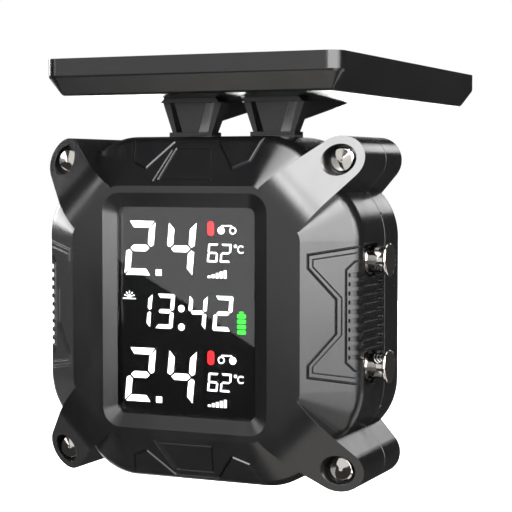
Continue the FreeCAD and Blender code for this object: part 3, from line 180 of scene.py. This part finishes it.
def rubber(name, colour):
    """Dull rubber or foam with a fine uneven skin."""
    made = Nodes(name)
    cloud = made.noise(3 * MM, 4.0)
    paler = tuple(part * 1.5 + 0.004 for part in colour)
    made.feed("Base Color", made.ramp(cloud, (0.3, colour), (0.7, paler)))
    made.feed("Roughness", made.range(cloud, 0.62, 0.8))
    made.bump(made.noise(0.2 * MM, 3.0), 0.01 * MM, 0.5)
    return made.material


def plain_plastic(name, colour, roughness):
    """Plastic of one colour with slow changes in its shade and gloss."""
    made = Nodes(name)
    cloud = made.noise(4 * MM, 3.0)
    darker = tuple(part * 0.88 for part in colour)
    made.feed("Base Color", made.ramp(cloud, (0.3, darker), (0.7, colour)))
    made.feed("Roughness", made.range(cloud, roughness - 0.05, roughness + 0.05))
    made.bump(made.noise(0.25 * MM, 2.0), 0.004 * MM, 0.4, made.rounded(0.08 * MM))
    return made.material


def metal(name, colour, roughness, stretch=(1, 1, 1), edge=0.08):
    """Bare metal with fine turning or drawing lines along the stretched axes."""
    made = Nodes(name)
    made.set(Metallic=1.0)
    cloud = made.noise(2 * MM, 3.0)
    duller = tuple(part * 0.9 for part in colour)
    made.feed("Base Color", made.ramp(cloud, (0.3, duller), (0.7, colour)))
    lines = made.noise(0.3 * MM, 3.0, 0.6, stretch)
    made.feed("Roughness", made.range(lines, roughness * 0.7, roughness * 1.4))
    made.bump(lines, 0.002 * MM, 0.25, made.rounded(edge * MM))
    return made.material


def circuit_board(name):
    """Green solder mask with a faint pattern of buried tracks."""
    made = Nodes(name)
    brick = made.add("ShaderNodeTexBrick")
    brick.inputs["Scale"].default_value = 1 / (6 * MM)
    brick.inputs["Mortar Size"].default_value = 0.03
    brick.inputs["Color1"].default_value = (0.010, 0.085, 0.035, 1)
    brick.inputs["Color2"].default_value = (0.008, 0.070, 0.030, 1)
    brick.inputs["Mortar"].default_value = (0.018, 0.140, 0.060, 1)
    made.link(made.place, brick.inputs["Vector"])
    made.feed("Base Color", brick.outputs["Color"])
    made.feed("Roughness", made.range(made.noise(1 * MM), 0.28, 0.42))
    made.bump(brick.outputs["Fac"], 0.02 * MM, 0.4)
    return made.material


def foil(name):
    """Silver pouch foil with shallow wrinkles."""
    made = Nodes(name)
    made.set(Metallic=1.0)
    wrinkle = made.noise(2.5 * MM, 5.0, 0.6)
    made.feed("Base Color", made.ramp(wrinkle, (0.3, (0.62, 0.63, 0.65)), (0.7, (0.78, 0.79, 0.8))))
    made.feed("Roughness", made.range(wrinkle, 0.26, 0.4))
    made.bump(wrinkle, 0.08 * MM, 0.6)
    return made.material


def inked_sides(made, name):
    """0 on the black-inked sides of an upright plate, 1 on its front and rear faces."""
    depths = [corner[1] for corner in bpy.data.objects[name].bound_box]
    middle, half = (max(depths) + min(depths)) / 2, (max(depths) - min(depths)) / 2
    away = made.math("ABSOLUTE", made.math("SUBTRACT", made.coordinate("Y"), middle))
    return made.math("GREATER_THAN", away, half - INK_MARGIN)


def smoked_glass(name, tint, plate):
    """Polished clear window with black-inked sides and a trace of handling marks in its gloss."""
    made = Nodes(name)
    made.set(IOR=1.47)
    clear = inked_sides(made, plate)
    smear = made.noise(9 * MM, 4.0, 0.6)
    colour = made.ramp(smear, (0.3, tint), (0.7, tuple(part * 0.985 for part in tint)))
    inked = made.add("ShaderNodeVectorMath", operation="SCALE")
    made.link(colour, inked.inputs[0])
    made.link(clear, inked.inputs["Scale"])
    made.feed("Base Color", inked.outputs[0])
    made.feed("Transmission Weight", clear)
    made.feed("Roughness", made.range(smear, 0.0, 0.015, 0.45, 0.8))
    return made.material


def clear_cover(name, tint):
    """Thin clear sheet over the solar cells, a little hazy where dust has settled."""
    made = Nodes(name)
    made.set(Transmission_Weight=1.0, IOR=1.06)
    dust = made.noise(14 * MM, 4.0, 0.6)
    made.feed("Base Color", made.ramp(dust, (0.3, tint), (0.7, tuple(part * 0.985 for part in tint))))
    made.feed("Roughness", made.range(dust, 0.06, 0.12, 0.45, 0.8))
    return made.material


def display_black(name):
    """The dark face of the liquid-crystal cell, with its faint pixel grid."""
    made = Nodes(name)
    grid = made.add("ShaderNodeTexBrick")
    grid.inputs["Scale"].default_value = 1 / (0.5 * MM)
    grid.inputs["Mortar Size"].default_value = 0.02
    grid.inputs["Color1"].default_value = (0.0016, 0.0016, 0.0018, 1)
    grid.inputs["Color2"].default_value = (0.0014, 0.0014, 0.0016, 1)
    grid.inputs["Mortar"].default_value = (0.0024, 0.0024, 0.0026, 1)
    turned = made.add("ShaderNodeMapping")
    turned.inputs["Rotation"].default_value = (math.radians(90), 0, 0)
    made.link(made.place, turned.inputs["Vector"])
    made.link(turned.outputs[0], grid.inputs["Vector"])
    made.feed("Base Color", grid.outputs["Color"])
    made.set(Specular_IOR_Level=0.12)
    made.feed("Roughness", made.range(made.noise(6 * MM), 0.16, 0.22))
    return made.material


def solar_silicon(name):
    """Dark blue monocrystalline silicon with thin silver fingers across the cell."""
    made = Nodes(name)
    cloud = made.noise(16 * MM, 4.0)
    silicon = made.ramp(cloud, (0.3, (0.0035, 0.0055, 0.016)), (0.7, (0.006, 0.010, 0.030)))
    pitch = 1.25 * MM
    across = made.math("FRACT", made.math("DIVIDE", made.coordinate("X"), pitch))
    finger = made.math("LESS_THAN", across, 0.07)
    made.feed("Base Color", made.mix(finger, silicon, (0.35, 0.36, 0.38)))
    made.feed("Metallic", made.math("MULTIPLY", finger, 0.8))
    made.feed("Roughness", made.range(cloud, 0.16, 0.26))
    made.bump(finger, 0.01 * MM, 0.5)
    made.set(Specular_IOR_Level=0.0)
    return made.material


def lit_mark(name, colour, strength):
    """A lit segment of the display, very slightly uneven as the backlight is."""
    made = Nodes(name)
    cloud = made.noise(7 * MM, 2.0)
    dimmer = tuple(part * 0.95 for part in colour)
    lit = made.ramp(cloud, (0.3, dimmer), (0.7, colour))
    made.feed("Base Color", lit)
    made.feed("Emission Color", lit)
    made.set(Emission_Strength=strength, Roughness=0.4)
    return made.material


def slot_materials():
    """One material for each slot of the record."""
    return {
        "shell_plastic": moulded_plastic(
            "shell_plastic", (0.0016, 0.0016, 0.0018), (0.0024, 0.0024, 0.0026), 0.22, 0.16 * MM, 0.06 * MM),
        "window_glass": smoked_glass("window_glass", (0.97, 0.975, 0.98), "display_window"),
        "panel_glass": clear_cover("panel_glass", (0.99, 0.99, 0.99)),
        "lcd_black": display_black("lcd_black"),
        "seal_rubber": rubber("seal_rubber", (0.006, 0.006, 0.006)),
        "white_plastic": plain_plastic("white_plastic", (0.78, 0.78, 0.75), 0.45),
        "board_green": circuit_board("board_green"),
        "component_black": plain_plastic("component_black", (0.016, 0.016, 0.017), 0.5),
        "core_foam": rubber("core_foam", (0.30, 0.30, 0.29)),
        "antenna_copper": metal("antenna_copper", (0.85, 0.42, 0.25), 0.25),
        "battery_foil": foil("battery_foil"),
        "lead_rubber": rubber("lead_rubber", (0.008, 0.008, 0.008)),
        "chrome": metal("chrome", (0.52, 0.50, 0.47), 0.07),
        "steel": metal("steel", (0.56, 0.56, 0.57), 0.3, (1, 8, 1)),
        "brass": metal("brass", (0.80, 0.60, 0.28), 0.28, (1, 6, 1)),
        "solar_cell": solar_silicon("solar_cell"),
    }


def dress_nodes():
    """Give every CAD node the material of its slot in the record."""
    made = slot_materials()
    for entry in frame["record"]["subparts"]:
        node = frame["nodes"][entry["node"]]
        node.data.materials.clear()
        node.data.materials.append(made[entry["material_slot"]])


# ---------------------------------------------------------------- display marks
LCD_LOW, LCD_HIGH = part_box("lcd_panel")
LCD_FACE = LCD_LOW.y
MARK_THICK = 0.03 * MM
BEHIND_GLASS = -0.44   # the window bends the view, so the marks sit this many mm to the left
SLANT = 0.095
SEGMENTS = {"1": "bc", "2": "abged", "3": "abgcd", "4": "fgbc", "6": "afgedc"}

# millimetres on the display's face, from its middle
PRESSURE_DIGIT = {"wide": 4.75, "tall": 8.5, "thick": 1.02, "gap": 0.22}
HEAT_DIGIT = {"wide": 1.75, "tall": 2.85, "thick": 0.30, "gap": 0.06}
CLOCK_DIGIT = {"wide": 3.1, "tall": 5.4, "thick": 0.62, "gap": 0.15}
UPPER_READING, LOWER_READING = 5.5, -14.45
CLOCK_LEVEL = -2.75
COLON_X, COLON_RADIUS = -0.61, 0.55
BATTERY_X, BATTERY_LEVEL, BATTERY_STEP, BATTERY_CELLS = 9.64, -2.82, 0.82, 4


class Marks:
    """Flat shapes collected in millimetres on the display's face, then made one solid piece."""

    def __init__(self):
        self.outlines = []

    def add(self, points):
        self.outlines.append([(x + BEHIND_GLASS, z) for x, z in points])

    def rounded(self, x, z, wide, tall, corner, steps=6):
        """A rectangle with round corners, centred on x and z."""
        points = []
        for sign_x, sign_z, start in ((1, 1, 0), (-1, 1, 90), (-1, -1, 180), (1, -1, 270)):
            for step in range(steps + 1):
                angle = math.radians(start + 90 * step / steps)
                points.append((x + sign_x * (wide / 2 - corner) + corner * math.cos(angle),
                               z + sign_z * (tall / 2 - corner) + corner * math.sin(angle)))
        self.add(points)

    def disc(self, x, z, radius, steps=32):
        self.add([(x + radius * math.cos(2 * math.pi * step / steps),
                   z + radius * math.sin(2 * math.pi * step / steps)) for step in range(steps)])

    def arc(self, x, z, radius, thick, start, end, steps=24):
        """A band along part of a circle, angles in degrees."""
        angles = [math.radians(start + (end - start) * step / steps) for step in range(steps + 1)]
        outer = [(x + (radius + thick / 2) * math.cos(a), z + (radius + thick / 2) * math.sin(a))
                 for a in angles]
        inner = [(x + (radius - thick / 2) * math.cos(a), z + (radius - thick / 2) * math.sin(a))
                 for a in angles]
        self.add(outer + inner[::-1])

    def digit(self, character, x, z, wide, tall, thick, gap):
        """A slanted seven-segment digit whose lower left corner is at x and z."""
        half, middle = thick / 2, tall / 2
        tip = thick * 0.75
        level = {
            "a": [(gap, tall), (wide - gap, tall), (wide - thick, tall - thick), (thick, tall - thick)],
            "d": [(gap, 0), (thick, thick), (wide - thick, thick), (wide - gap, 0)],
            "g": [(half + gap, middle), (tip + half, middle + half), (wide - tip - half, middle + half),
                  (wide - half - gap, middle), (wide - tip - half, middle - half),
                  (tip + half, middle - half)],
            "f": [(0, tall - gap), (thick, tall - thick - gap), (thick, middle + half + gap),
                  (half, middle + gap), (0, middle + half)],
            "b": [(wide, tall - gap), (wide, middle + half), (wide - half, middle + gap),
                  (wide - thick, middle + half + gap), (wide - thick, tall - thick - gap)],
            "e": [(0, gap), (0, middle - half), (half, middle - gap), (thick, middle - half - gap),
                  (thick, thick + gap)],
            "c": [(wide, gap), (wide - thick, thick + gap), (wide - thick, middle - half - gap),
                  (wide - half, middle - gap), (wide, middle - half)],
        }
        for name in SEGMENTS[character]:
            self.add([(x + px + SLANT * pz, z + pz) for px, pz in level[name]])

    def piece(self, name, material, slot):
        """One mesh of thin solid plates that stand on the display's face."""
        mesh = bmesh.new()
        for outline in self.outlines:
            near = [mesh.verts.new((px * MM, LCD_FACE - MARK_THICK, pz * MM)) for px, pz in outline]
            far = [mesh.verts.new((px * MM, LCD_FACE, pz * MM)) for px, pz in outline]
            mesh.faces.new(near)
            mesh.faces.new(far[::-1])
            for index in range(len(near)):
                follower = (index + 1) % len(near)
                mesh.faces.new((near[index], far[index], far[follower], near[follower]))
        bmesh.ops.recalc_face_normals(mesh, faces=mesh.faces[:])
        data = bpy.data.meshes.new(name)
        mesh.to_mesh(data)
        mesh.free()
        data.materials.append(material)
        made = bpy.data.objects.new(name, data)
        scene.collection.objects.link(made)
        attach(made, "case")
        return made


def two_wheeler(marks, x, z, filled):
    """A small generic two-wheeled symbol; the measured wheel is filled."""
    radius, spread = 0.52, 0.98
    for index, side in enumerate((-1, 1)):
        if index == filled:
            marks.disc(x + side * spread, z - 0.2, radius + 0.06)
        else:
            marks.arc(x + side * spread, z - 0.2, radius - 0.04, 0.2, 0, 180)
            marks.arc(x + side * spread, z - 0.2, radius - 0.04, 0.2, 180, 360)
    marks.add([(x - spread + 0.2, z + 0.42), (x + 0.62, z + 0.42), (x + 0.74, z + 0.62),
               (x - spread, z + 0.62)])
    marks.add([(x + 0.55, z + 0.62), (x + 0.75, z + 0.62), (x + 1.0, z + 0.28), (x + 0.85, z + 0.22)])


def level_marks(marks, x, z):
    """Rising blocks: a generic sign for pressure."""
    for index in range(5):
        tall = 0.36 + 0.22 * index
        marks.rounded(x + 0.33 + 0.68 * index, z + tall / 2, 0.46, tall, 0.05)


def rising_sun(marks, x, z):
    """A half sun over a line, for the first half of the day."""
    disc = [(x + 0.42 * math.cos(math.radians(a)), z - 0.28 + 0.42 * math.sin(math.radians(a)))
            for a in range(0, 181, 12)]
    marks.add(disc)
    marks.rounded(x, z - 0.5, 2.3, 0.16, 0.05)
    for angle in (20, 55, 90, 125, 160):
        turn = math.radians(angle)
        along, across = Vector((math.cos(turn), math.sin(turn))), Vector((-math.sin(turn), math.cos(turn)))
        near, far = Vector((x, z - 0.28)) + along * 0.6, Vector((x, z - 0.28)) + along * 0.98
        half = across * 0.075
        marks.add([tuple(near - half), tuple(far - half), tuple(far + half), tuple(near + half)])


def degree_mark(marks, x, z):
    """A ring and an open bracket: the temperature unit."""
    marks.arc(x + 0.28, z + 1.17, 0.2, 0.11, 0, 180)
    marks.arc(x + 0.28, z + 1.17, 0.2, 0.11, 180, 360)
    marks.arc(x + 1.22, z + 0.68, 0.52, 0.2, 45, 315)


def reading(white, red, base, filled):
    """A pressure with its alert lamp, wheel symbol, temperature and unit sign."""
    white.digit("2", -10.62, base, **PRESSURE_DIGIT)
    white.digit("4", -3.5, base, **PRESSURE_DIGIT)
    white.rounded(-4.55, base + 0.46, 1.02, 0.98, 0.05)
    red.rounded(4.45, base + 7.48, 1.12, 2.2, 0.5)
    two_wheeler(white, 7.2, base + 7.4, filled)
    white.digit("6", 3.8, base + 2.3, **HEAT_DIGIT)
    white.digit("2", 5.98, base + 2.3, **HEAT_DIGIT)
    degree_mark(white, 8.35, base + 3.65)
    level_marks(white, 3.85, base - 0.15)


def clock(white):
    rising_sun(white, -9.75, 2.25)
    for character, x in (("1", -9.25), ("3", -5.3), ("4", 0.35), ("2", 4.7)):
        white.digit(character, x, CLOCK_LEVEL, **CLOCK_DIGIT)
    for z in (0.46, -2.42):
        white.disc(COLON_X, z, COLON_RADIUS)


def battery_mark(green):
    for index in range(BATTERY_CELLS):
        green.rounded(BATTERY_X, BATTERY_LEVEL + BATTERY_STEP * index, 1.45, 0.62, 0.2)
    green.rounded(BATTERY_X, 0.22, 0.7, 0.25, 0.08)


def display_marks():
    """Two pressure readings with their temperature, and the clock between them."""
    white, red, green = Marks(), Marks(), Marks()
    reading(white, red, UPPER_READING, 0)
    reading(white, red, LOWER_READING, 1)
    clock(white)
    battery_mark(green)
    white.piece("lcd_digits", lit_mark("lit_white", (1.0, 1.0, 1.0), 1.25), "white_plastic")
    red.piece("lcd_alert_marks", lit_mark("lit_red", (0.85, 0.005, 0.01), 1.0), "white_plastic")
    green.piece("lcd_battery_mark", lit_mark("lit_green", (0.0, 0.78, 0.003), 1.0), "white_plastic")


# ---------------------------------------------------------------- studio
def camera():
    """The photo's view of the part, from its front right and slightly above."""
    data = bpy.data.cameras.new("camera")
    data.lens = CAMERA_LENS
    data.sensor_width = 36.0
    data.clip_start = 0.01
    made = bpy.data.objects.new("camera", data)
    made.location = CAMERA_PLACE
    made.rotation_euler = (math.radians(90 - CAMERA_DOWN), 0, math.radians(CAMERA_AZIMUTH))
    scene.collection.objects.link(made)
    scene.camera = made


def soft_box(name, azimuth, elevation, distance, wide, tall, radiance):
    """A rectangular light that faces the object. Azimuth 0 is in front, 90 to the right."""
    data = bpy.data.lights.new(name, "AREA")
    data.shape = "RECTANGLE"
    data.size = wide
    data.size_y = tall
    data.energy = radiance * math.pi * wide * tall
    made = bpy.data.objects.new(name, data)
    turn, rise = math.radians(azimuth), math.radians(elevation)
    away = Vector((math.sin(turn) * math.cos(rise), -math.cos(turn) * math.cos(rise), math.sin(rise)))
    made.location = away * distance
    made.rotation_euler = away.to_track_quat("Z", "Y").to_euler()
    made.visible_camera = False
    scene.collection.objects.link(made)
    return made


def lights():
    """Soft boxes: azimuth, elevation, distance, width, height and radiance of each."""
    soft_box("key_right", 34, 25, 0.9, 1.22, 1.06, 10.3)
    soft_box("key_low", 58, -20, 0.9, 0.5, 0.4, 3.5)
    soft_box("arm_root_card", 0, 23, 0.9, 0.2, 0.35, 11.0)
    soft_box("arm_top_card", 25, 52, 0.85, 0.5, 0.6, 8.5)
    low = soft_box("low_bounce", 15, -60, 0.9, 1.4, 0.7, 1.25)
    low.data.color = (1.0, 0.97, 0.92)
    soft_box("left_rim", -107, 15, 0.8, 0.18, 0.28, 17.0)
    soft_box("left_faint", -98, -10, 0.8, 0.25, 0.7, 0.25)
    soft_box("nut_strip", -44, 12, 0.9, 0.12, 0.42, 5.0)
    soft_box("right_far", 76, 12, 0.9, 0.36, 0.5, 7.0)
    soft_box("rear_right_high", 168, 18, 0.9, 0.3, 0.14, 3.0)
    soft_box("rear_left_low", -156, -3, 0.9, 0.5, 0.12, 6.0)
    soft_box("overhead", 180, 72, 1.2, 1.0, 0.7, 3.0)
    soft_box("rear_fill_right", 125, -28, 0.9, 0.5, 0.6, 1.6)
    soft_box("rear_fill_left", -128, -28, 0.9, 0.5, 0.6, 1.6)
    sheen_card()


def sheen_card():
    """A dim card whose lower edge the window shows as a slanting line through its middle."""
    card = soft_box("sheen_card", -27, 3, 0.6, SHEEN_WIDE, SHEEN_TALL, 1.15)
    tilt = math.radians(SHEEN_TILT)
    along = Vector((math.cos(tilt), 0, -math.sin(tilt)))
    up = Vector((math.sin(tilt), 0, math.cos(tilt)))
    card.location = SHEEN_CORNER + along * SHEEN_SHIFT + up * (SHEEN_TALL / 2)
    card.rotation_euler = (math.radians(90), tilt, 0)


def background():
    """A pale floor under the object and an even white world; mirrors see the world as dim."""
    bpy.ops.mesh.primitive_plane_add(size=FLOOR_SIZE, location=(0, 0, FLOOR_LEVEL))
    floor = bpy.context.object
    floor.name = "floor"
    made = Nodes("floor_pale")
    made.feed("Base Color", made.ramp(made.noise(0.6), (0.3, (0.90, 0.90, 0.90)), (0.7, (0.93, 0.93, 0.93))))
    made.set(Roughness=0.9, Emission_Color=(1, 1, 1, 1), Emission_Strength=0.98)
    floor.data.materials.append(made.material)
    floor.visible_glossy = False
    floor.visible_shadow = False
    floor.visible_transmission = False
    world = bpy.data.worlds.new("studio")
    world.use_nodes = True
    tree = world.node_tree
    seen = tree.nodes["Background"]
    seen.inputs["Color"].default_value = (1, 1, 1, 1)
    seen.inputs["Strength"].default_value = WORLD_SEEN
    dim = tree.nodes.new("ShaderNodeBackground")
    dim.inputs["Color"].default_value = (1, 1, 1, 1)
    dim.inputs["Strength"].default_value = WORLD_REFLECTED
    path = tree.nodes.new("ShaderNodeLightPath")
    mixed = tree.nodes.new("ShaderNodeMixShader")
    tree.links.new(path.outputs["Is Camera Ray"], mixed.inputs[0])
    tree.links.new(dim.outputs[0], mixed.inputs[1])
    tree.links.new(seen.outputs[0], mixed.inputs[2])
    tree.links.new(mixed.outputs[0], tree.nodes["World Output"].inputs["Surface"])
    scene.world = world
    scene.view_settings.view_transform = "Standard"


camera()
dress_nodes()
display_marks()
lights()
background()
